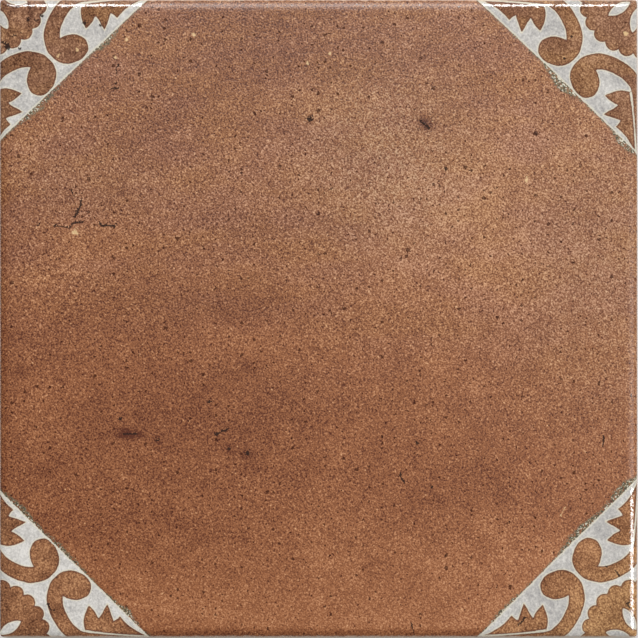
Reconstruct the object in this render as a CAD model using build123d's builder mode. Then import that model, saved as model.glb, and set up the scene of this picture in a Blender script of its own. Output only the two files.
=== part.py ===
import os

from build123d import *

# A square glazed faience wall tile, pressed and fired in one piece.
# It lies on its back: the ribs of the back stand on Z = 0 and the glazed face looks up along +Z.
# The origin is the middle of the back, on the crossing of its two middle ribs.
# All sizes are in millimetres.

# Overall format
tile_side = 200.0  # widest width and depth, at the arris of the face
tile_thickness = 8.0  # from the rib tops of the back to the middle of the face
corner_radius = 1.2  # upright corners, seen from above

# Cushioned edge of the face: a quarter of an ellipse, flat at its start and upright at the arris
cushion_width = 4.0
cushion_drop = 1.5

# Side of the tile: a short upright land under the arris, then the draft that frees it from the mould
land_height = 1.3
draft_inset = 0.8  # how far the side has come in at the back
back_chamfer = 0.6  # broken edge around the back

# Back key: a grid of shallow tapered pockets between ribs, for the adhesive to grip
pocket_count = 8  # along each side, even, so that two ribs cross at the origin
pocket_pitch = 23.0
pocket_width = 17.4
pocket_corner = 1.6  # broken corners, seen from the back
pocket_depth = 0.8
pocket_taper = 30.0  # degrees that a pocket's walls lean in towards its floor

# Heights and half widths worked out from the sizes above
half_side = tile_side / 2
arris_height = tile_thickness - cushion_drop
land_foot = arris_height - land_height
back_half = half_side - draft_inset
cushion_start = half_side - cushion_width

with BuildPart() as tile:
    # One section runs both ways, so that the cushioned edges meet in a mitre at each corner.
    for plane, mode in ((Plane.XZ, Mode.ADD), (Plane.YZ, Mode.INTERSECT)):
        with BuildSketch(plane):
            with BuildLine():
                Line((-cushion_start, tile_thickness), (cushion_start, tile_thickness))
                EllipticalCenterArc(
                    (cushion_start, arris_height),
                    cushion_width,
                    cushion_drop,
                    arc_size=90,
                )
                Polyline(
                    (half_side, arris_height),
                    (half_side, land_foot),
                    (back_half, back_chamfer),
                    (back_half - back_chamfer, 0),
                    (-back_half + back_chamfer, 0),
                    (-back_half, back_chamfer),
                    (-half_side, land_foot),
                    (-half_side, arris_height),
                )
                EllipticalCenterArc(
                    (-cushion_start, arris_height),
                    cushion_width,
                    cushion_drop,
                    start_angle=90,
                    arc_size=90,
                )
            make_face()
        extrude(amount=half_side, both=True, mode=mode)

    # Upright corners, slightly rounded
    with BuildSketch(Plane.XY):
        RectangleRounded(tile_side, tile_side, corner_radius)
    extrude(amount=tile_thickness, mode=Mode.INTERSECT)

    # Pockets of the back key
    with BuildSketch(Plane.XY):
        with GridLocations(pocket_pitch, pocket_pitch, pocket_count, pocket_count):
            Rectangle(pocket_width, pocket_width)
        chamfer(vertices(), length=pocket_corner)
    extrude(amount=pocket_depth, taper=pocket_taper, mode=Mode.SUBTRACT)

tile.part.label = "tile"

os.makedirs("parts", exist_ok=True)
export_step(tile.part, "parts/tile.step")
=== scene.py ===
import math

import bpy
import numpy as np
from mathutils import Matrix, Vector


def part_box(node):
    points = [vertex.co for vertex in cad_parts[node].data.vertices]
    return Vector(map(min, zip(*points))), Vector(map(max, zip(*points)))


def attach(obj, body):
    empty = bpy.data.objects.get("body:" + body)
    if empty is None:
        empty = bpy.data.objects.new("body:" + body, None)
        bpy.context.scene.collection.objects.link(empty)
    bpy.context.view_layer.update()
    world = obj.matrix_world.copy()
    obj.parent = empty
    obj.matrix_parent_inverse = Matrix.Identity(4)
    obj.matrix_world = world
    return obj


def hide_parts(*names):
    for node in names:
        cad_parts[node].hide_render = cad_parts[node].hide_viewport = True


# A square faience wall tile: a cushioned face with a brown satin octagon, four white gloss corners that carry
# a quarter palmette, scrolls and leaves in brown, and a keyed biscuit back.
# Lengths are in metres. Surface patterns are laid out in millimetres from the middle of the tile.

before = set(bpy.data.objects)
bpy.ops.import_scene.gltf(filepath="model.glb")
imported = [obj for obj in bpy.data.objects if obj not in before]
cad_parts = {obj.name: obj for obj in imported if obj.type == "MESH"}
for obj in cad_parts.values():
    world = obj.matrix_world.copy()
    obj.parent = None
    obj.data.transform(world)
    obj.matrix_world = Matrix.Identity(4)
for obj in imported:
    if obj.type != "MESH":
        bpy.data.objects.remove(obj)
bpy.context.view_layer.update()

mm = 0.001
_, high_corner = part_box("tile")

# Body of the tile, as the CAD part has it
half_side = high_corner.x
tile_thickness = high_corner.z
cushion_width = 4.0 * mm
cushion_drop = 1.5 * mm
corner_radius = 1.2 * mm
land_height = 1.3 * mm
draft_inset = 0.8 * mm
back_chamfer = 0.6 * mm
pocket_count = 8
pocket_pitch = 23.0 * mm
pocket_width = 17.4 * mm
pocket_corner = 1.6 * mm
pocket_depth = 0.8 * mm
pocket_taper = math.radians(30)
arris_height = tile_thickness - cushion_drop
land_foot = arris_height - land_height

# Rows of the face from its middle to its edge
plain_rows = 22
plain_reach = 50.0 * mm  # half width of the middle, which carries no print
print_rows = 110
cushion_rows = 12

# The same body in the millimetres of the surface patterns
face_reach = round(half_side / mm, 3)
land_top = arris_height / mm


# Node trees

class Term:
    """A value in a node tree. Arithmetic on it adds the tree's own Math nodes."""

    def __init__(self, tree, socket):
        self.tree = tree
        self.socket = socket

    def __add__(self, other):
        return maths("ADD", self, other)

    def __radd__(self, other):
        return maths("ADD", other, self)

    def __sub__(self, other):
        return maths("SUBTRACT", self, other)

    def __rsub__(self, other):
        return maths("SUBTRACT", other, self)

    def __mul__(self, other):
        return maths("MULTIPLY", self, other)

    def __truediv__(self, other):
        return maths("DIVIDE", self, other)

    def __neg__(self):
        return maths("SUBTRACT", 0.0, self)

    def __abs__(self):
        return maths("ABSOLUTE", self)


def add_node(tree, kind, inputs=None, **settings):
    """A new node with its settings, and with each named input linked to a term or set to a value."""
    node = tree.nodes.new(kind)
    for name, value in settings.items():
        setattr(node, name, value)
    for key, value in (inputs or {}).items():
        if isinstance(value, Term):
            tree.links.new(value.socket, node.inputs[key])
        else:
            node.inputs[key].default_value = value
    return node


def result(node, key=0):
    """One output of a node, as a term."""
    return Term(node.id_data, node.outputs[key])


def tree_of(*values):
    """The node tree that the terms among the values belong to."""
    return next(value.tree for value in values if isinstance(value, Term))


def maths(operation, *values):
    node = add_node(tree_of(*values), "ShaderNodeMath", dict(enumerate(values)), operation=operation)
    return result(node)


def vectors(operation, *values, output="Vector"):
    node = add_node(tree_of(*values), "ShaderNodeVectorMath", dict(enumerate(values)), operation=operation)
    return result(node, output)


def scaled(vector, amount):
    """A vector, or a colour, times a number."""
    inputs = {0: vector, "Scale": amount}
    return result(add_node(tree_of(vector, amount), "ShaderNodeVectorMath", inputs, operation="SCALE"))


def clamp(value, low=0.0, high=1.0):
    return maths("MINIMUM", maths("MAXIMUM", value, low), high)


def ease(value, start, end):
    """0 where the value is at start, 1 where it is at end, and smooth between."""
    inputs = {"Value": value, "From Min": start, "From Max": end}
    return result(add_node(value.tree, "ShaderNodeMapRange", inputs, interpolation_type="SMOOTHSTEP"))


def split(vector):
    node = add_node(vector.tree, "ShaderNodeSeparateXYZ", {0: vector})
    return result(node, "X"), result(node, "Y"), result(node, "Z")


def combine(x, y, z):
    return result(add_node(tree_of(x, y, z), "ShaderNodeCombineXYZ", {"X": x, "Y": y, "Z": z}))


def noise(place, scale, detail=2.0, roughness=0.5, offset=0.0):
    """Noise around 0, from about -0.5 to 0.5, with a scale in features to the unit of place."""
    moved = vectors("ADD", place, (offset, offset, offset))
    inputs = {"Vector": moved, "Scale": scale, "Detail": detail, "Roughness": roughness}
    return result(add_node(place.tree, "ShaderNodeTexNoise", inputs), "Fac") - 0.5


def mix(amount, under, over):
    """The colour over on the colour under, by an amount from 0 to 1."""
    return result(add_node(amount.tree, "ShaderNodeMix", {0: amount, 6: under, 7: over}, data_type="RGBA"), 2)


def new_tree(name, kind, inputs, outputs):
    """A node group and its named inputs as terms. Each input is (name, socket kind, value)."""
    tree = bpy.data.node_groups.new(name, kind)
    for socket_name, socket_kind, value in inputs:
        socket = tree.interface.new_socket(socket_name, in_out="INPUT", socket_type=socket_kind)
        if value is not None:
            socket.default_value = value
    for socket_name, socket_kind in outputs:
        tree.interface.new_socket(socket_name, in_out="OUTPUT", socket_type=socket_kind)
    entry = tree.nodes.new("NodeGroupInput")
    return tree, {name: result(entry, name) for name, _, _ in inputs}


def close_tree(tree, outputs):
    add_node(tree, "NodeGroupOutput", outputs)


def apply_tree(mesh_object, tree, values):
    """Run a Geometry Nodes tree on an object with the named values, and keep the result as its plain mesh."""
    modifier = mesh_object.modifiers.new(tree.name, "NODES")
    modifier.node_group = tree
    for item in tree.interface.items_tree:
        if item.in_out == "INPUT" and item.name in values:
            modifier[item.identifier] = values[item.name]
    evaluated = mesh_object.evaluated_get(bpy.context.evaluated_depsgraph_get())
    mesh = bpy.data.meshes.new_from_object(evaluated)
    mesh_object.modifiers.clear()
    mesh_object.data = mesh
    return mesh


# Shape of the pressed tile

def pressed_tile_tree():
    """Face, cushioned edge, land, drafted side, chamfer and keyed back as one closed skin."""
    length = "NodeSocketFloat"
    count = "NodeSocketInt"
    tree, put = new_tree(
        "pressed tile",
        "GeometryNodeTree",
        [
            ("Geometry", "NodeSocketGeometry", None),
            ("Half side", length, half_side),
            ("Cushion width", length, cushion_width),
            ("Cushion drop", length, cushion_drop),
            ("Corner radius", length, corner_radius),
            ("Arris height", length, arris_height),
            ("Land foot", length, land_foot),
            ("Draft inset", length, draft_inset),
            ("Back chamfer", length, back_chamfer),
            ("Plain reach", length, plain_reach),
            ("Plain rows", count, plain_rows),
            ("Print rows", count, print_rows),
            ("Cushion rows", count, cushion_rows),
            ("Pocket count", count, pocket_count),
            ("Pocket pitch", length, pocket_pitch),
            ("Pocket width", length, pocket_width),
            ("Pocket corner", length, pocket_corner),
            ("Pocket depth", length, pocket_depth),
            ("Pocket taper", length, pocket_taper),
            ("Face glaze", "NodeSocketMaterial", None),
            ("Land glaze", "NodeSocketMaterial", None),
            ("Biscuit", "NodeSocketMaterial", None),
        ],
        [("Geometry", "NodeSocketGeometry")],
    )

    # Rows of the face lie close together where the print and the cushioned edge are
    rows = put["Plain rows"] + put["Print rows"] + put["Cushion rows"]
    across = rows * 2 + 1
    sheet = add_node(
        tree,
        "GeometryNodeMeshGrid",
        {"Size X": 2.0, "Size Y": 2.0, "Vertices X": across, "Vertices Y": across},
    )
    position = result(add_node(tree, "GeometryNodeInputPosition"))
    column_x, column_y, _ = split(position)
    plain_pitch = put["Plain reach"] / put["Plain rows"]
    print_pitch = (put["Half side"] - put["Cushion width"] - put["Plain reach"]) / put["Print rows"]

    def spread(column):
        """How far out a row lies, and its share of the cushion's drop that is still left there."""
        row = maths("ROUND", abs(column) * rows)
        past_plain = maths("MAXIMUM", row - put["Plain rows"], 0.0)
        past_print = maths("MAXIMUM", past_plain - put["Print rows"], 0.0)
        turn = past_print / put["Cushion rows"] * (math.pi / 2)
        plain = maths("MINIMUM", row, put["Plain rows"]) * plain_pitch
        printed = maths("MINIMUM", past_plain, put["Print rows"]) * print_pitch
        return plain + printed + put["Cushion width"] * maths("SINE", turn), maths("COSINE", turn)

    out_x, left_x = spread(column_x)
    out_y, left_y = spread(column_y)
    # A smooth minimum of two equal values lies a sixth of its softness below them, which is given back
    mitre_softness = 0.25
    left = maths("SMOOTH_MIN", left_x, left_y, mitre_softness) / (1 - mitre_softness / 6)
    height = put["Arris height"] + put["Cushion drop"] * maths("MAXIMUM", left, 0.0)

    def round_corner(out, other):
        """Draws a corner of the outline in onto its rounding."""
        radius = put["Corner radius"]
        share = clamp((out - put["Half side"]) / radius + 1)
        other_share = clamp((other - put["Half side"]) / radius + 1)
        return out - radius * share * (1 - maths("SQRT", 1 - other_share * other_share / 2))

    face_x = round_corner(out_x, out_y) * maths("SIGN", column_x)
    face_y = round_corner(out_y, out_x) * maths("SIGN", column_y)
    skin = add_node(
        tree,
        "GeometryNodeSetPosition",
        {"Geometry": result(sheet, "Mesh"), "Position": combine(face_x, face_y, height)},
    )

    # Land, draft and chamfer are drawn down from the arris, one row of faces each
    neighbours = add_node(tree, "GeometryNodeInputMeshEdgeNeighbors")
    edge = add_node(
        tree,
        "FunctionNodeCompare",
        {2: result(neighbours), 3: 1},
        data_type="INT",
        operation="EQUAL",
    )
    rim = result(edge)
    shell = result(skin)
    back_half = put["Half side"] - put["Draft inset"]
    rings = (
        (put["Half side"], put["Half side"], put["Land foot"]),
        (put["Half side"], back_half, put["Back chamfer"]),
        (back_half, back_half - put["Back chamfer"], 0.0),
    )
    for before, after, ring_height in rings:
        drawn = add_node(
            tree,
            "GeometryNodeExtrudeMesh",
            {"Mesh": shell, "Selection": rim, "Offset Scale": 0.0},
            mode="EDGES",
        )
        here_x, here_y, _ = split(result(add_node(tree, "GeometryNodeInputPosition")))
        share = after / before
        ring = add_node(
            tree,
            "GeometryNodeSetPosition",
            {
                "Geometry": result(drawn, "Mesh"),
                "Selection": result(drawn, "Top"),
                "Position": combine(here_x * share, here_y * share, ring_height),
            },
        )
        shell = result(ring)
        rim = result(drawn, "Top")

    # Flat back around the mouths of the pockets
    outline = add_node(tree, "GeometryNodeMeshToCurve", {"Mesh": shell, "Selection": rim})
    mouth = add_node(
        tree,
        "GeometryNodeCurvePrimitiveQuadrilateral",
        {"Width": put["Pocket width"], "Height": put["Pocket width"]},
    )
    broken = add_node(
        tree,
        "GeometryNodeFilletCurve",
        {"Curve": result(mouth), "Count": 1, "Radius": put["Pocket corner"]},
        mode="POLY",
    )
    count_across = put["Pocket count"]
    reach = put["Pocket pitch"] * (count_across - 1)
    places = add_node(
        tree,
        "GeometryNodeMeshGrid",
        {"Size X": reach, "Size Y": reach, "Vertices X": count_across, "Vertices Y": count_across},
    )

    def at_each_pocket(piece):
        spots = add_node(
            tree,
            "GeometryNodeInstanceOnPoints",
            {"Points": result(places, "Mesh"), "Instance": piece},
        )
        return result(add_node(tree, "GeometryNodeRealizeInstances", {"Geometry": result(spots)}))

    def join(*pieces):
        joined = tree.nodes.new("GeometryNodeJoinGeometry")
        for piece in pieces:
            tree.links.new(piece.socket, joined.inputs[0])
        return result(joined)

    mouths = at_each_pocket(result(broken))
    back = add_node(
        tree,
        "GeometryNodeFillCurve",
        {"Curve": join(result(outline), mouths)},
        mode="TRIANGLES",
    )
    back = add_node(tree, "GeometryNodeFlipFaces", {"Mesh": result(back)})

    # A pocket: its mouth drawn up into the back and tapered
    floor_face = add_node(tree, "GeometryNodeFillCurve", {"Curve": result(broken)}, mode="NGONS")
    floor_face = add_node(tree, "GeometryNodeFlipFaces", {"Mesh": result(floor_face)})
    walls = add_node(
        tree,
        "GeometryNodeExtrudeMesh",
        {
            "Mesh": result(floor_face),
            "Offset": combine(0.0, 0.0, put["Pocket depth"]),
            "Offset Scale": 1.0,
            "Individual": False,
        },
        mode="FACES",
    )
    taper_inset = put["Pocket depth"] * maths("TANGENT", put["Pocket taper"])
    pocket = add_node(
        tree,
        "GeometryNodeScaleElements",
        {
            "Geometry": result(walls, "Mesh"),
            "Selection": result(walls, "Top"),
            "Scale": 1 - taper_inset * 2 / put["Pocket width"],
        },
    )

    whole = join(shell, result(back), at_each_pocket(result(pocket)))
    whole = add_node(tree, "GeometryNodeRealizeInstances", {"Geometry": whole})
    weld_distance = 0.002 * mm
    whole = add_node(
        tree,
        "GeometryNodeMergeByDistance",
        {"Geometry": result(whole), "Distance": weld_distance},
    )

    # Each finish goes on above a height, over the one before it
    face_height = split(result(add_node(tree, "GeometryNodeInputPosition")))[2]
    below_all = -1.0
    coats = (
        (below_all, "Biscuit"),
        (put["Land foot"], "Land glaze"),
        (put["Arris height"], "Face glaze"),
    )
    for above, finish in coats:
        higher = add_node(tree, "FunctionNodeCompare", {0: face_height, 1: above}, operation="GREATER_THAN")
        whole = add_node(
            tree,
            "GeometryNodeSetMaterial",
            {"Geometry": result(whole), "Selection": result(higher), "Material": put[finish]},
        )
    close_tree(tree, {"Geometry": result(whole)})
    return tree


face_glaze = bpy.data.materials.new("satin and gloss glaze")
land_glaze = bpy.data.materials.new("glaze run-out")
biscuit = bpy.data.materials.new("fired biscuit")

tile_mesh = bpy.data.meshes.new("glazed_tile")
tile = bpy.data.objects.new("glazed_tile", tile_mesh)
bpy.context.scene.collection.objects.link(tile)
finishes = {"Face glaze": face_glaze, "Land glaze": land_glaze, "Biscuit": biscuit}
tile_mesh = apply_tree(tile, pressed_tile_tree(), finishes)


# Print of the corners, in millimetres

# The corner that each flower is at, and how far outside the tile its middle lies along X and along Y
flowers = (
    ((-1, 1), (4.4, 2.0)),
    ((1, 1), (1.0, 1.3)),
    ((-1, -1), (3.5, 1.2)),
    ((1, -1), (1.7, 1.0)),
)

# Joint between the field and each corner, from the side edge to the end edge
joints = (
    ((-100.0, 55.7), (-53.5, 100.0)),
    ((50.1, 99.4), (71.2, 79.5), (99.7, 51.7)),
    ((-100.0, -53.9), (-72.1, -80.9), (-52.9, -100.0)),
    ((51.0, -98.7), (75.7, -73.8), (100.0, -50.1)),
)

# Width of the dirt along a clean joint, and the places where it is wider: middle, reach and width
clean_joint_dirt = 0.45
dirty_joints = (
    ((-66.7, 86.8), 5.0, 1.2),
    ((-88.1, 67.0), 9.0, 1.5),
    ((75.8, 73.6), 6.0, 2.6),
    ((95.8, 54.9), 4.0, 2.0),
    ((-93.4, -60.1), 6.0, 1.4),
    ((-80.5, -72.7), 9.0, 0.9),
    ((-60.4, -91.8), 4.0, 1.4),
    ((82.4, -66.7), 8.0, 2.0),
    ((95.3, -54.5), 5.0, 2.6),
    ((59.2, -92.2), 5.0, 1.0),
)

# Outlines of the ornament from the flower's middle, in along both edges. A sharp corner is marked with True.
scroll = (
    (27.0, -1.0), (23.4, 2.4), (21.2, 5.3), (19.5, 8.5), (18.5, 11.7), (18.3, 14.0), (19.2, 17.8),
    (20.5, 19.7), (22.8, 21.6), (26.0, 22.3), (29.8, 21.0), (31.7, 19.1), (32.3, 17.1), (31.4, 14.6),
    (29.2, 13.3), (27.3, 13.0), (24.9, 13.5), (23.4, 14.3, True), (23.5, 11.6), (24.4, 9.1), (26.0, 6.2),
    (27.9, 4.3), (30.1, 2.95), (35.8, 2.25), (42.1, 1.7), (48.4, 1.2), (50.2, 1.1, True),
    (50.2, -2.0, True), (27.2, -2.0, True),
)
leaf = (
    (30.3, 3.6), (29.9, 6.2), (30.3, 8.5), (31.5, 11.4, True), (32.6, 10.3), (33.7, 8.9), (34.5, 7.2, True),
    (35.6, 8.7), (36.5, 10.4), (37.4, 11.8, True), (38.2, 9.7), (39.3, 6.4, True), (40.4, 7.1),
    (41.3, 8.0, True), (43.0, 6.0), (45.2, 4.2), (48.4, 2.3), (50.2, 1.6, True), (48.4, 1.8),
    (42.1, 2.2), (35.8, 2.8), (30.6, 3.6, True),
)
palmette_tips = 24
palmette_lobe = 2.6
palmette_ring = 17.2
palmette_core = 17.9
petal_turn = math.radians(13)
petal_step = math.radians(45)
petal_middle = 8.0
petal_bow = 6.2
petal_shift = 4.65
first_petal_outward = 1.5  # the first corner's petals sit further out
print_area = 30.0  # the print lies further than this from both middle lines
far_outside = -9.0


def smooth_outline(points, steps=6):
    """A closed curve through the points, straight into and out of each marked corner."""
    places = np.array([point[:2] for point in points])
    sharp = [len(point) == 3 for point in points]
    curve = []
    for here in range(len(points)):
        after = (here + 1) % len(points)
        start, end = places[here], places[after]
        start_pull = np.zeros(2) if sharp[here] else (end - places[here - 1]) / 2
        end_pull = np.zeros(2) if sharp[after] else (places[(after + 1) % len(points)] - start) / 2
        if sharp[here]:
            start_pull = end - start - end_pull / 3
        if sharp[after]:
            end_pull = end - start - start_pull / 3
        for step in range(steps):
            t = step / steps
            curve.append(
                (2 * t**3 - 3 * t**2 + 1) * start
                + (t**3 - 2 * t**2 + t) * start_pull
                + (3 * t**2 - 2 * t**3) * end
                + (t**3 - t**2) * end_pull
            )
    return np.array(curve)


def outline_distance(outline, p, q):
    """Distance to a closed outline, below 0 inside it."""
    nearest = np.full(p.shape, np.inf)
    inside = np.zeros(p.shape, bool)
    for (ax, ay), (bx, by) in zip(outline, np.roll(outline, -1, axis=0)):
        along = ((p - ax) * (bx - ax) + (q - ay) * (by - ay)) / ((bx - ax) ** 2 + (by - ay) ** 2)
        along = np.clip(along, 0, 1)
        nearest = np.minimum(nearest, np.hypot(p - ax - along * (bx - ax), q - ay - along * (by - ay)))
        if ay != by:
            crossed = (ay > q) != (by > q)
            inside ^= crossed & (p < (bx - ax) * (q - ay) / (by - ay) + ax)
    return np.where(inside, -nearest, nearest)


def palmette_distance(radius, angle, outward):
    """Distance to the scalloped flower with its petals left out, below 0 inside it."""
    step = 2 * math.pi / palmette_tips
    lobe_angle = (angle + step / 2) % step - step / 2
    lobe = np.hypot(radius * np.cos(lobe_angle) - palmette_ring, radius * np.sin(lobe_angle)) - palmette_lobe
    petal_angle = (angle - petal_turn + petal_step / 2) % petal_step - petal_step / 2
    along = radius * np.cos(petal_angle) - petal_middle - outward
    aside = np.abs(radius * np.sin(petal_angle))
    petal = np.hypot(along, aside + petal_shift) - petal_bow
    return np.maximum(np.minimum(radius - palmette_core, lobe), -petal)


def corner_print(x, y):
    """Depth inside the printed ornament at each place, below 0 outside it."""
    scroll_outline = smooth_outline(scroll)
    leaf_outline = smooth_outline(leaf)
    depth = np.full(x.shape, far_outside)
    for (side_x, side_y), (out_x, out_y) in flowers:
        here = (x * side_x > print_area) & (y * side_y > print_area)
        p = face_reach + out_x - x[here] * side_x
        q = face_reach + out_y - y[here] * side_y
        angle = np.arctan2(side_y * q, -side_x * p)
        outward = first_petal_outward if (side_x, side_y) == (-1, 1) else 0.0
        ornament = palmette_distance(np.hypot(p, q), angle, outward)
        far, near = np.maximum(p, q), np.minimum(p, q)
        for outline in (scroll_outline, leaf_outline):
            ornament = np.minimum(ornament, outline_distance(outline, far, near))
        depth[here] = -ornament
    return depth


def joint_distance(x, y):
    """Distance from the nearest corner joint, above 0 on the field's side."""
    nearest = np.full(x.shape, face_reach)
    for ((_, side_y), _), points in zip(flowers, joints):
        xs, ys = np.array(points).T
        line = np.interp(x, xs, ys)
        slope = (ys[-1] - ys[0]) / (xs[-1] - xs[0])
        line += slope * (np.minimum(x - xs[0], 0) + np.maximum(x - xs[-1], 0))
        nearest = np.minimum(nearest, (line - y) * side_y * math.sqrt(0.5))
    return nearest


def joint_dirt(x, y):
    """Width of the dirty band beside the joints."""
    width = np.full(x.shape, clean_joint_dirt)
    for (middle_x, middle_y), reach, most in dirty_joints:
        width += most * np.exp(-((x - middle_x) ** 2 + (y - middle_y) ** 2) / reach**2)
    return width


def face_places(mesh):
    """X and Y of each vertex, in millimetres."""
    places = np.zeros(len(mesh.vertices) * 3)
    mesh.vertices.foreach_get("co", places)
    places = places.reshape(-1, 3) / mm
    return places[:, 0], places[:, 1]


face_x, face_y = face_places(tile_mesh)
for name, values in (
    ("print_depth", corner_print(face_x, face_y)),
    ("joint_distance", joint_distance(face_x, face_y)),
    ("joint_dirt", joint_dirt(face_x, face_y)),
):
    attribute = tile_mesh.attributes.new(name, "FLOAT", "POINT")
    attribute.data.foreach_set("value", values.astype(np.float32))


def glaze_relief_tree():
    """Sinks the face a little: ripples where the glaze has pooled, and a groove at each joint."""
    tree, put = new_tree(
        "glaze relief",
        "GeometryNodeTree",
        [
            ("Geometry", "NodeSocketGeometry", None),
            ("Corner ripple", "NodeSocketFloat", 0.10 * mm),
            ("Field ripple", "NodeSocketFloat", 0.03 * mm),
            ("Joint groove", "NodeSocketFloat", 0.10 * mm),
            ("Groove width", "NodeSocketFloat", 0.7),
            ("Ripple scale", "NodeSocketFloat", 0.8),
            ("Full relief from", "NodeSocketFloat", arris_height + 0.8 * mm),
            ("No relief below", "NodeSocketFloat", arris_height + 0.1 * mm),
        ],
        [("Geometry", "NodeSocketGeometry")],
    )
    spot = result(add_node(tree, "GeometryNodeInputPosition"))
    place = scaled(spot, 1 / mm)
    stored = {"Name": "joint_distance"}
    joint = result(add_node(tree, "GeometryNodeInputNamedAttribute", stored, data_type="FLOAT"))
    ripple_change = (-0.5, 0.5)  # from the corner's ripple to the field's, in millimetres past the joint
    in_field = ease(joint, *ripple_change)
    ripple = noise(place, put["Ripple scale"]) + 0.5
    groove = 1 - ease(abs(joint), 0.0, put["Groove width"])
    amount = put["Corner ripple"] + (put["Field ripple"] - put["Corner ripple"]) * in_field
    on_face = ease(split(spot)[2], put["No relief below"], put["Full relief from"])
    sunk = (ripple * amount + groove * put["Joint groove"]) * on_face
    lowered = add_node(
        tree,
        "GeometryNodeSetPosition",
        {"Geometry": put["Geometry"], "Offset": combine(0.0, 0.0, -sunk)},
    )
    close_tree(tree, {"Geometry": result(lowered)})
    return tree


crease_angle = math.radians(35)
tile_mesh = apply_tree(tile, glaze_relief_tree(), {})
tile_mesh.shade_smooth()
tile_mesh.set_sharp_from_angle(angle=crease_angle)


# Finishes

def tone(red, green, blue):
    """A colour written on the screen's scale from 0 to 255, as Blender's own linear values."""
    linear = []
    for value in (red, green, blue):
        share = value / 255
        linear.append(share / 12.92 if share <= 0.04045 else ((share + 0.055) / 1.055) ** 2.4)
    return (*linear, 1.0)


def surface_place(tree):
    """Object coordinates in millimetres."""
    return scaled(result(add_node(tree, "ShaderNodeTexCoord"), "Object"), 1 / mm)


def off_grid(place):
    """The place turned askew, so that the cells of a noise don't line up with the tile's sides."""
    askew = (0.7, 0.5, 1.1)
    inputs = {0: place, "Rotation": askew}
    return result(add_node(place.tree, "ShaderNodeVectorRotate", inputs, rotation_type="EULER_XYZ"))


def layered(noises, shares):
    """The named noises added up, each times its share."""
    total = None
    for name, share in shares.items():
        layer = noises[name] * share
        total = layer if total is None else total + layer
    return total


def surface_value(tree, name):
    return result(add_node(tree, "ShaderNodeAttribute", attribute_name=name), "Fac")


def fired_colour(level, deep, middle, light):
    """A colour between three, from deep at 0 through middle at 0.5 to light at 1."""
    node = add_node(level.tree, "ShaderNodeValToRGB", {0: level})
    ramp = node.color_ramp
    ramp.elements[0].color = deep
    ramp.elements[1].color = light
    ramp.elements.new(0.5).color = middle
    return result(node)


def stroke_distance(place, start, end):
    """Distance from a straight stroke on the face, or from a spot where it starts and ends in one point."""
    start = np.array((*start, 0.0))
    run = np.array((*end, 0.0)) - start
    offset = vectors("SUBTRACT", place, tuple(start))
    if not run.any():
        return vectors("LENGTH", offset, output="Value")
    along = clamp(vectors("DOT_PRODUCT", offset, tuple(run / (run @ run)), output="Value"))
    return vectors("DISTANCE", offset, scaled(tuple(run), along), output="Value")


def marked(place, marks, ragged):
    """How far a place is inside the nearest of the marks, from 0 to 1."""
    rim = (1.4, 0.6)  # from clear to solid, in half widths of a mark
    nearest = None
    for points, half_width in marks:
        for start, end in zip(points, points[1:] or points):
            distance = stroke_distance(place, start, end) / half_width
            nearest = distance if nearest is None else maths("MINIMUM", nearest, distance)
    return ease(nearest + ragged * mark_raggedness, *rim)


def pores(place, scale, size, ragged):
    """Ragged spots, one to a cell of the face: a few of them large and most too small to see."""
    cells = {"Vector": place, "Scale": scale}
    spots = add_node(place.tree, "ShaderNodeTexVoronoi", cells, voronoi_dimensions="2D")
    share = split(result(spots, "Color"))[0]
    reach = maths("POWER", share, pore_rarity) * size
    distance = result(spots, "Distance") / scale + ragged * pore_raggedness
    return ease(distance, reach * pore_outer, reach * pore_inner)


def patch_depth(place, stains_and_shade):
    """Depth of the soft patches at a place: stains, smoke clouds and painted shade."""
    fade = (1.5, 0.0)  # from clear to full, in reaches of a stain
    total = None
    for middle, reach, strength in stains_and_shade:
        share = (1 / reach[0], 1 / reach[1], 0.0)
        offset = vectors("MULTIPLY", vectors("SUBTRACT", place, (*middle, 0.0)), share)
        depth = ease(vectors("LENGTH", offset, output="Value"), *fade) * strength
        total = depth if total is None else total + depth
    return total


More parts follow.
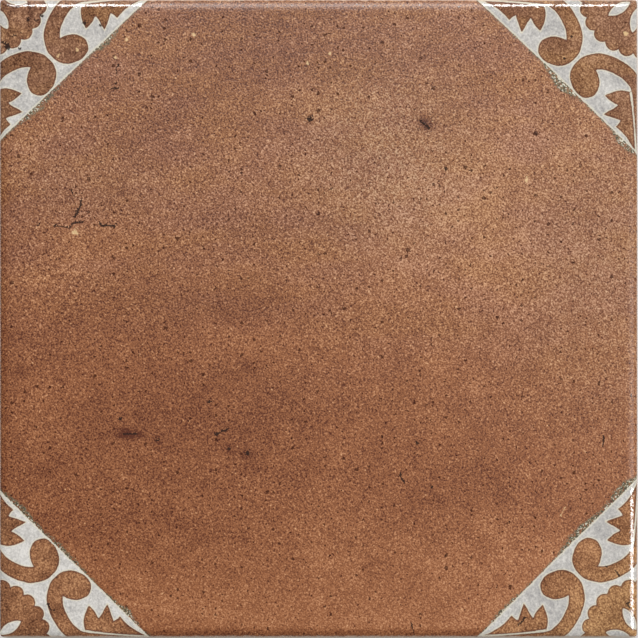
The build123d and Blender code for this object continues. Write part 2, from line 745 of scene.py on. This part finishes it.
# Marks on the face, in millimetres: points and half width
mark_raggedness = 2.2
dark_marks_and_shade = (
    (((-74.4, 37.4), (-74.3, 35.3), (-75.5, 33.8), (-76.5, 31.9)), 0.36),
    (((-77.4, 39.9), (-76.5, 38.5)), 0.28),
    (((-83.0, 29.0), (-78.0, 28.7), (-76.5, 30.0), (-73.9, 30.3)), 0.32),
    (((-68.6, 30.0), (-67.3, 29.0), (-63.6, 29.0)), 0.34),
    (((-63.6, 29.0),), 0.75),
    (((-87.6, 29.3),), 0.55),
    (((-63.0, 79.5), (-63.4, 76.0)), 0.2),
    (((-63.8, 73.4),), 0.32),
    (((-65.3, 71.5), (-62.6, 72.2)), 0.22),
    (((-3.0, 62.6),), 0.75),
    (((31.8, 62.0), (34.6, 59.4)), 0.3),
    (((39.7, 46.6),), 0.5),
    (((30.6, -39.1),), 0.5),
    (((35.3, -52.9),), 0.45),
    (((90.3, -77.7),), 0.4),
    (((97.0, -89.5),), 0.7),
    (((-99.0, 87.0), (-97.5, 86.0)), 0.45),
    (((-93.5, 84.4),), 0.45),
    (((-98.0, 85.4), (-97.0, 84.6)), 0.6),
    (((-95.8, 88.5), (-94.9, 88.9)), 0.35),
    (((-92.9, 89.8),), 0.45),
    (((-91.1, 93.6),), 0.4),
    (((-88.5, 93.2),), 0.45),
    (((-87.0, 94.8),), 0.4),
    # Painted shade: two dark spots at the leaf bases beside the first corner's top-edge highlight
    (((-73.4, 92.3),), 0.5),
    (((-68.3, 91.6),), 0.45),
    (((79.3, 88.4),), 0.45),
    (((76.8, 81.5),), 0.4),
    (((89.0, -36.6), (89.0, -40.0)), 0.28),
    (((-61.0, -36.2), (-57.0, -36.0)), 0.3),
    (((-50.5, -37.9),), 0.6),
    (((-34.3, -26.0),), 0.5),
    (((-62.4, -31.3),), 0.4),
    (((-32.3, -36.4), (-28.8, -34.5)), 0.36),
    (((-28.1, -40.6),), 0.55),
    (((-22.3, -42.3),), 0.7),
    (((25.3, -48.5), (26.8, -51.3)), 0.3),
    (((29.0, -95.3), (29.7, -97.5)), 0.25),
    (((-84.9, -89.6), (-83.4, -91.8)), 0.35),
    (((62.6, -95.9), (64.8, -93.7)), 0.3),
    (((93.2, -78.9), (94.2, -80.2)), 0.3),
)
light_marks = (
    (((76.1, -61.9), (77.3, -59.2)), 0.16),
    (((65.2, 43.2),), 0.6),
    (((-60.1, 87.4),), 0.6),
    (((-63.6, 81.8),), 0.5),
    (((-39.1, 89.0),), 0.5),
    (((-3.3, 79.9),), 0.5),
    (((-75.6, 84.1),), 0.5),
    (((-81.6, 82.3),), 0.4),
    (((3.6, 83.0),), 0.5),
    (((95.9, 89.3),), 0.5),
    (((-76.5, 27.2),), 0.7),
)

# Smoky stains, painted shade and, below 0, paler clouds: middle, reach and strength
stains_and_shade = (
    ((33.4, 60.8), (2.9, 2.5), 0.9),
    ((53.5, 75.8), (3.0, 2.5), 0.3),
    ((-59.0, -36.0), (4.6, 1.9), 0.9),
    ((-22.1, -42.5), (2.6, 2.0), 0.35),
    ((-86.2, -48.2), (4.0, 2.6), 0.3),
    ((-50.4, -38.1), (2.6, 2.0), 0.3),
    ((-27.8, -40.7), (2.6, 2.0), 0.3),
    ((-92.5, -16.2), (3.0, 2.5), 0.35),
    ((-22.1, -14.3), (3.0, 2.5), 0.35),
    # Painted shade: darker across the top, against the top lamp's sheen
    ((-32.0, 84.0), (46.0, 24.0), 0.26),
    ((20.0, 86.0), (50.0, 20.0), 0.22),
    ((-24.0, 4.0), (20.0, 8.0), 0.16),
    ((-33.0, -22.0), (24.0, 9.0), 0.09),
    # Painted shade along the left edge's cushion, which faces away from the light
    ((-100.0, -5.0), (6.0, 80.0), 0.12),
    ((-82.0, 14.0), (20.0, 9.0), -0.2),
    ((-88.0, -20.0), (10.0, 30.0), -0.1),
    ((40.0, 20.0), (22.0, 26.0), -0.06),
    ((22.0, 52.0), (24.0, 26.0), -0.08),
    # Painted shade on the right, against the side lamp's sheen
    ((66.0, 62.0), (40.0, 34.0), 0.05),
    ((58.0, -44.0), (44.0, 34.0), 0.03),
)

# Greyer clouds in the field: middle, reach and strength
smoke = (
    ((22.0, 52.0), (30.0, 34.0), 0.8),
    ((88.0, 20.0), (26.0, 60.0), 0.45),
    ((-75.0, 44.0), (22.0, 14.0), 0.3),
)

# Glaze colours
field_deep = tone(84, 40, 20)
field_brown = tone(147, 98, 65)
field_light = tone(206, 160, 124)
warm_cast = (1.04, 1.0, 0.88, 1.0)
plum_cast = (0.98, 0.94, 1.02, 1.0)
ember_cast = (1.11, 0.98, 0.86, 1.0)
tan_cast = (1.08, 1.05, 0.86, 1.0)
smoke_cast = (0.93, 1.04, 1.10, 1.0)
ground_shaded = tone(152, 149, 148)
ground_white = tone(190, 186, 181)
ground_light = tone(222, 218, 212)
print_deep = tone(72, 42, 28)
print_brown = tone(138, 99, 72)
print_light = tone(200, 158, 120)
print_rim = tone(96, 56, 44)
halo_cream = tone(222, 213, 188)
joint_white = tone(214, 208, 190)
dirt_olive = tone(122, 114, 84)
dirt_dark = tone(66, 60, 44)
mark_dark = tone(48, 14, 6)
# Dark of the cracks and dark marks, and of two spots of painted shade
crack_and_shade_dark = tone(44, 30, 26)
mark_light = tone(226, 192, 142)
# Pale of the worn arris, which also paints its highlight along the top edge
worn_and_highlit_edge = tone(206, 182, 160)

# Clay colours
clay_deep = tone(158, 98, 68)
clay_terracotta = tone(190, 132, 98)
clay_pale = tone(220, 172, 138)
clay_grog = tone(112, 62, 44)
kiln_wash = tone(222, 210, 196)

# Noises that the glaze's finishes share, from large to fine
cloud_noise = {"scale": 0.035, "detail": 3.0, "roughness": 0.55}
cast_noise = {"scale": 0.09, "detail": 2.0, "offset": 83.0}
blotch_noise = {"scale": 0.13, "detail": 2.0, "roughness": 0.6, "offset": 17.0}
ragged_noise = {"scale": 0.5, "detail": 2.0, "roughness": 0.65, "offset": 51.0}
sand_noise = {"scale": 1.25, "detail": 1.0, "roughness": 0.6, "offset": 5.0}
grit_noise = {"scale": 2.1, "detail": 0.0, "offset": 61.0}
grit_strength = 0.65
grain_layers = {"sand": 0.8, "grit": 2.0}
streak_stretch = (0.5, 1.3, 1.0)  # clouds are drawn out from side to side

# Brown field: its level between the three colours, where that changes in millimetres, and by how much
field_level = 0.435
field_layers = {"cloud": 0.36, "blotch": 0.3, "ragged": 0.16}
field_speckle = {"ragged": 2.0, "sand": 2.0}
speckle_limits = (-0.5, 1.2)
even_stain_and_shade = 0.5
field_grain = 1.02
low_calm = 0.2
foot_calm = 0.15
cloud_drift = 60.0
right_paler = (-70.0, 90.0)
right_lift = 0.12
foot_paler = (58.0, 94.0)
foot_lift = 0.16
# Painted shade on the bottom cushion, which faces away from the light
foot_shaded = (96.4, 98.6)
foot_shade = 0.2
low_deeper = (-40.0, 40.0)
low_depth = 0.14
low_slant = 0.15
cast_turn = (-0.18, 0.18)

# White corners and the print on them
ground_level = 0.5
ground_layers = {"blotch": 0.9, "ragged": 0.8, "sand": 0.9, "grit": 0.8}
last_corner_brighter = (60.0, 160.0)
last_corner_lift = 0.2
print_wander = {"ragged": 0.25, "grit": 0.25}
print_edge = (-0.12, 0.12)
halo_reach = (-0.5, -0.15)
halo_strength = 0.7
rim_reach = (0.65, 0.2)
rim_strength = 0.7
print_level = 0.48
print_lean_x = 0.0005
print_lean_y = -0.0002
print_layers = {"blotch": 0.75, "grain": 0.72}
print_mottle = 0.35
first_flower = (166.0, 184.0)
first_flower_mottle = 0.75
tan_corner = (150.0, 190.0)
tan_lift = 0.06

# Joints: a thin white line, and dirt beside it on the field
line_wander = {"ragged": 0.6, "grit": 0.3}
line_edge = (-0.12, 0.12)
line_middle = -0.22
line_reach = (0.34, 0.16)
line_strength = 0.8
band_wander = {"ragged": 3.2, "grit": 3.0}
band_outer_edge = (-0.2, 0.7)
band_inner_edge = (-0.25, 0.1)
crumb_strength = 0.9
crumbs = (
    ({"sand": 1.0, "blotch": 0.5}, (-0.16, 0.04), dirt_olive),
    ({"grit": 1.0, "sand": 0.5}, (0.0, 0.09), dirt_dark),
    ({"grit": 1.0, "sand": -0.3}, (-0.06, -0.13), joint_white),
)

# Flecks, pores and how the single marks wander
in_field_edge = (-0.2, 0.4)
fleck_layers = {"sand": 0.6, "grit": 0.8}
light_fleck = (0.22, 0.34)
light_fleck_strength = 0.6
dark_fleck = (-0.20, -0.32)
dark_fleck_strength = 0.85
pore_kinds = ((0.25, 0.5), (0.5, 0.325))  # cells to the millimetre, and size in millimetres
pore_layers = {"blotch": 0.875, "cloud": 0.625}
pore_rarity = 6.0
pore_outer = 1.4
pore_inner = 0.8
pore_raggedness = 0.6
field_pore_strength = 0.4
brown_pore_strength = 0.34
uneven_layers = {"ragged": 1.3, "grit": 1.1}
wander_across = {"ragged": 2.4}
wander_along = {"blotch": 2.0, "grit": 1.2}
light_mark_strength = 0.8
dark_mark_and_shade_strength = 0.92

# Arris worn pale, with a painted highlight along the top edge, most at the top and the foot and not at the
# left
worn_and_highlight_reach = (0.7, 0.0)
worn_and_highlight_raggedness = 1.2
worn_and_highlight_share = 0.25
worn_and_highlit_ends = (98.4, 99.5)
worn_and_highlit_ends_share = 0.5
unworn_unlit_left = (-99.5, -97.0)

# Roughness, and height in millimetres
gloss_roughness = 0.09
satin_roughness = 0.3  # added in the field
pitted_gloss = 0.22
dirt_roughness = 0.25
corner_sand = 0.055
corner_grit = 0.015
field_sand = 0.032
field_grit = 0.08
glaze_ior = 1.5

# Land, where the glaze ends in a ragged line
glaze_end = (land_top - 0.45, land_top - 0.7)
glaze_end_raggedness = 1.3
bare_roughness = 0.4

# Bare clay
biscuit_roughness = 0.85
clay_cloud_noise = {"scale": 0.06, "detail": 3.0, "roughness": 0.6}
clay_grain_noise = {"scale": 1.6, "detail": 2.0, "roughness": 0.7}
clay_speck_noise = {"scale": 0.9, "detail": 0.0, "offset": 40.0}
clay_level = 0.5
clay_layers = {"cloud": 0.9, "grain": 1.0}
dark_grog = (0.22, 0.30)
dark_grog_strength = 0.8
pale_grog = (-0.26, -0.34)
pale_grog_strength = 0.45
wash_height = (0.5, 0.0)
wash_layers = {"cloud": 1.0, "grain": 0.6}
wash_patches = (-0.05, 0.15)
wash_strength = 0.4
clay_height = 0.10


def clay_finish(place):
    """Colour and height in millimetres of the unglazed clay."""
    skew = off_grid(place)
    noises = {"cloud": noise(skew, **clay_cloud_noise), "grain": noise(skew, **clay_grain_noise)}
    speck = noise(skew, **clay_speck_noise)
    level = clay_level + layered(noises, clay_layers)
    colour = fired_colour(level, clay_deep, clay_terracotta, clay_pale)
    colour = mix(ease(speck, *dark_grog) * dark_grog_strength, colour, clay_grog)
    colour = mix(ease(speck, *pale_grog) * pale_grog_strength, colour, kiln_wash)
    washed = ease(split(place)[2], *wash_height) * ease(layered(noises, wash_layers), *wash_patches)
    return mix(washed * wash_strength, colour, kiln_wash), noises["grain"] * clay_height


def glaze_noises(place):
    """The glaze's noises by name."""
    skew = off_grid(place)
    streaked = off_grid(vectors("MULTIPLY", place, streak_stretch))
    noises = {
        "cloud": noise(streaked, **cloud_noise),
        "cast": noise(streaked, **cast_noise),
        "blotch": noise(skew, **blotch_noise),
        "ragged": noise(skew, **ragged_noise),
        "sand": noise(skew, **sand_noise),
        "grit": noise(skew, **grit_noise) * grit_strength,
    }
    noises["grain"] = layered(noises, grain_layers)
    return noises


def field_finish(place, noises):
    """Colour of the brown field, clouded in streaks and sandy all over, with painted shade at its foot, along
    its left edge and across parts of its top and right, and the cast it is given.
    """
    x, y, _ = split(place)
    drift = noises["cloud"] * cloud_drift
    right = ease(x + drift, *right_paler)
    foot = ease(-y, *foot_paler)
    low = ease(drift - y - x * low_slant, *low_deeper)
    speckled = even_stain_and_shade + clamp(layered(noises, field_speckle), *speckle_limits)
    level = field_level + layered(noises, field_layers) + right * right_lift + foot * foot_lift
    # Painted shade on the bottom cushion
    level = level - ease(-y, *foot_shaded) * foot_shade - low * low_depth
    level = level + noises["grain"] * (field_grain - low * low_calm - foot * foot_calm)
    level = level - patch_depth(place, stains_and_shade) * speckled
    cast = mix(ease(noises["cast"], *cast_turn), warm_cast, plum_cast)
    cast = mix(low, cast, ember_cast)
    cast = mix(patch_depth(place, smoke) * speckled, cast, smoke_cast)
    return vectors("MULTIPLY", fired_colour(level, field_deep, field_brown, field_light), cast), cast


def corner_finish(place, print_depth, noises, cast):
    """Colour of the white corners with their ornament, its dark rim and creamy halo, and where it is."""
    x, y, _ = split(place)
    last_corner = ease(-x - y, *last_corner_brighter)
    level = ground_level + layered(noises, ground_layers) + last_corner * last_corner_lift
    ground = fired_colour(level, ground_shaded, ground_white, ground_light)
    inside = print_depth + layered(noises, print_wander)
    ground = mix(ease(inside, *halo_reach) * halo_strength, ground, halo_cream)

    tan = ease(x - y, *tan_corner)
    mottle = print_mottle + ease(y - x, *first_flower) * first_flower_mottle
    level = print_level + x * print_lean_x + y * print_lean_y + tan * tan_lift
    level = level + layered(noises, print_layers) + noises["ragged"] * mottle
    ink = fired_colour(level, print_deep, print_brown, print_light)
    ink = vectors("MULTIPLY", ink, mix(tan, cast, tan_cast))
    ink = mix(ease(inside, *rim_reach) * rim_strength, ink, print_rim)
    in_print = ease(inside, *print_edge)
    return mix(in_print, ground, ink), in_print


def joined(corner, field, joint, dirt, noises):
    """Colour of corner and field with the joint between them, and where the joint's dirt lies."""
    line = joint + layered(noises, line_wander)
    colour = mix(ease(line, *line_edge), corner, field)
    in_band = ease(dirt + layered(noises, band_wander) - line, *band_outer_edge)
    in_band = in_band * ease(line, *band_inner_edge)
    for layers, reach, crumb in crumbs:
        colour = mix(in_band * ease(layered(noises, layers), *reach) * crumb_strength, colour, crumb)
    on_line = ease(abs(line - line_middle), *line_reach)
    return mix(on_line * line_strength, colour, joint_white), in_band


def flecked(colour, brown, noises):
    """The colour with pale and dark grains on its brown parts, and where the dark ones are."""
    fleck = layered(noises, fleck_layers) * brown
    colour = mix(ease(fleck, *light_fleck) * light_fleck_strength, colour, mark_light)
    pitted = ease(fleck, *dark_fleck) * dark_fleck_strength
    return mix(pitted, colour, mark_dark), pitted


def pored_and_marked(colour, pitted, place, in_field, brown, noises):
    """The colour with the pores and the single marks of the face, two dark ones of them painted shade, and
    where it is pitted by then.
    """
    uneven = layered(noises, uneven_layers)
    strength = in_field * field_pore_strength + brown * brown_pore_strength
    for scale, size in pore_kinds:
        pore = pores(place, scale, size + layered(noises, pore_layers), uneven) * strength
        colour = mix(pore, colour, mark_dark)
        pitted = maths("MAXIMUM", pitted, pore)
    across = layered(noises, wander_across)
    along = layered(noises, wander_along)
    face_place = vectors("ADD", place, combine(across, along, -split(place)[2]))
    colour = mix(marked(face_place, light_marks, uneven) * light_mark_strength, colour, mark_light)
    crack_and_shade = marked(face_place, dark_marks_and_shade, uneven) * dark_mark_and_shade_strength
    return mix(crack_and_shade, colour, crack_and_shade_dark), maths("MAXIMUM", pitted, crack_and_shade)


def worn_and_highlit_arris(place, noises):
    """How far the arris is worn pale, with a painted highlight along the top edge, from 0 to 1."""
    x, y, _ = split(place)
    edge = face_reach - maths("MAXIMUM", abs(x), abs(y)) + noises["ragged"] * worn_and_highlight_raggedness
    share = worn_and_highlight_share + ease(abs(y), *worn_and_highlit_ends) * worn_and_highlit_ends_share
    return ease(edge, *worn_and_highlight_reach) * ease(x, *unworn_unlit_left) * share


def finish_surface(material, colour, roughness, height):
    """Links a finish to a material's shader. Roughness is a term, or one value for the whole surface."""
    tree = material.node_tree
    shader = tree.nodes["Principled BSDF"]
    tree.links.new(colour.socket, shader.inputs["Base Color"])
    if isinstance(roughness, Term):
        tree.links.new(roughness.socket, shader.inputs["Roughness"])
    else:
        shader.inputs["Roughness"].default_value = roughness
    bump = add_node(tree, "ShaderNodeBump", {"Height": height, "Distance": mm, "Strength": 1.0})
    tree.links.new(bump.outputs[0], shader.inputs["Normal"])


def finish_clay(material):
    material.use_nodes = True
    colour, height = clay_finish(surface_place(material.node_tree))
    finish_surface(material, colour, biscuit_roughness, height)


def finish_glaze(material, on_land):
    """The glaze of the face, or that of the land, where it ends in a ragged line on the clay."""
    material.use_nodes = True
    tree = material.node_tree
    place = surface_place(tree)
    joint = surface_value(tree, "joint_distance")
    noises = glaze_noises(place)
    field, cast = field_finish(place, noises)
    corner, in_print = corner_finish(place, surface_value(tree, "print_depth"), noises, cast)
    colour, in_band = joined(corner, field, joint, surface_value(tree, "joint_dirt"), noises)
    in_field = ease(joint, *in_field_edge)
    brown = maths("MAXIMUM", in_field, in_print)
    colour, pitted = flecked(colour, brown, noises)
    if not on_land:
        colour, pitted = pored_and_marked(colour, pitted, place, in_field, brown, noises)
    # Pale worn arris, with a painted highlight along the top edge
    colour = mix(worn_and_highlit_arris(place, noises), colour, worn_and_highlit_edge)

    roughness = gloss_roughness + in_field * (satin_roughness - pitted * pitted_gloss)
    roughness = roughness + in_band * dirt_roughness
    height = noises["sand"] * (corner_sand + in_field * (field_sand - corner_sand))
    height = height + noises["grit"] * (corner_grit + in_field * (field_grit - corner_grit))
    if on_land:
        clay, grain_height = clay_finish(place)
        bare = ease(split(place)[2] + noises["ragged"] * glaze_end_raggedness, *glaze_end)
        colour = mix(bare, colour, clay)
        roughness = roughness + bare * bare_roughness
        height = height + grain_height * bare
    finish_surface(material, colour, roughness, height)
    tree.nodes["Principled BSDF"].inputs["IOR"].default_value = glaze_ior


finish_glaze(face_glaze, on_land=False)
finish_glaze(land_glaze, on_land=True)
finish_clay(biscuit)

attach(tile, "root")
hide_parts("tile")


# Floor, light and camera

floor_reach = 3.0
floor_pale = (0.72, 0.70, 0.67, 1.0)
floor_mesh = bpy.data.meshes.new("floor")
floor_mesh.from_pydata(
    [
        (-floor_reach, -floor_reach, 0),
        (floor_reach, -floor_reach, 0),
        (floor_reach, floor_reach, 0),
        (-floor_reach, floor_reach, 0),
    ],
    [],
    [(0, 1, 2, 3)],
)
floor = bpy.data.objects.new("floor", floor_mesh)
bpy.context.scene.collection.objects.link(floor)
floor_finish = bpy.data.materials.new("pale floor")
floor_finish.use_nodes = True
floor_shader = floor_finish.node_tree.nodes["Principled BSDF"]
floor_shader.inputs["Base Color"].default_value = floor_pale
floor_shader.inputs["Roughness"].default_value = 1.0
floor_shader.inputs["Specular IOR Level"].default_value = 0.0
floor_mesh.materials.append(floor_finish)

world = bpy.data.worlds.new("soft room light")
world.use_nodes = True
room_strength = 0.16
room_light = world.node_tree.nodes["Background"]
room_light.inputs["Color"].default_value = (1.0, 1.0, 1.0, 1.0)
room_light.inputs["Strength"].default_value = room_strength
bpy.context.scene.world = world


def area_light(name, place, target, size, power):
    """A rectangular lamp at a place that shines at the target."""
    lamp = bpy.data.lights.new(name, "AREA")
    lamp.shape = "RECTANGLE"
    lamp.size, lamp.size_y = size
    lamp.energy = power
    holder = bpy.data.objects.new(name, lamp)
    holder.location = place
    direction = Vector(place) - Vector(target)
    holder.rotation_euler = direction.to_track_quat("Z", "Y").to_euler()
    bpy.context.scene.collection.objects.link(holder)


# Lamps: place, target, width and height, and power
lamps = (
    ("softbox", (0.0, 1.82, 2.52), (0.0, 0.1, 0.0), (1.5, 0.56), 75.5),
    ("side softbox", (1.98, -0.52, 2.45), (0.1, -0.07, 0.0), (0.32, 1.1), 33.0),
    ("window", (0.0, 2.70, 1.55), (0.0, 0.1, 0.0), (3.0, 1.6), 16.0),
)
for lamp in lamps:
    area_light(*lamp)

view_half_width = 0.10016
view_middle = (0.00012, -0.0002)  # the photo's frame is this far off the tile's middle
camera_data = bpy.data.cameras.new("straight down")
camera_data.lens = 100.0
camera_data.sensor_width = 36.0
camera_height = arris_height + view_half_width * 2 * camera_data.lens / camera_data.sensor_width
camera = bpy.data.objects.new("straight down", camera_data)
camera.location = (*view_middle, camera_height)
bpy.context.scene.collection.objects.link(camera)
bpy.context.scene.camera = camera
bpy.context.scene.view_settings.view_transform = "Standard"
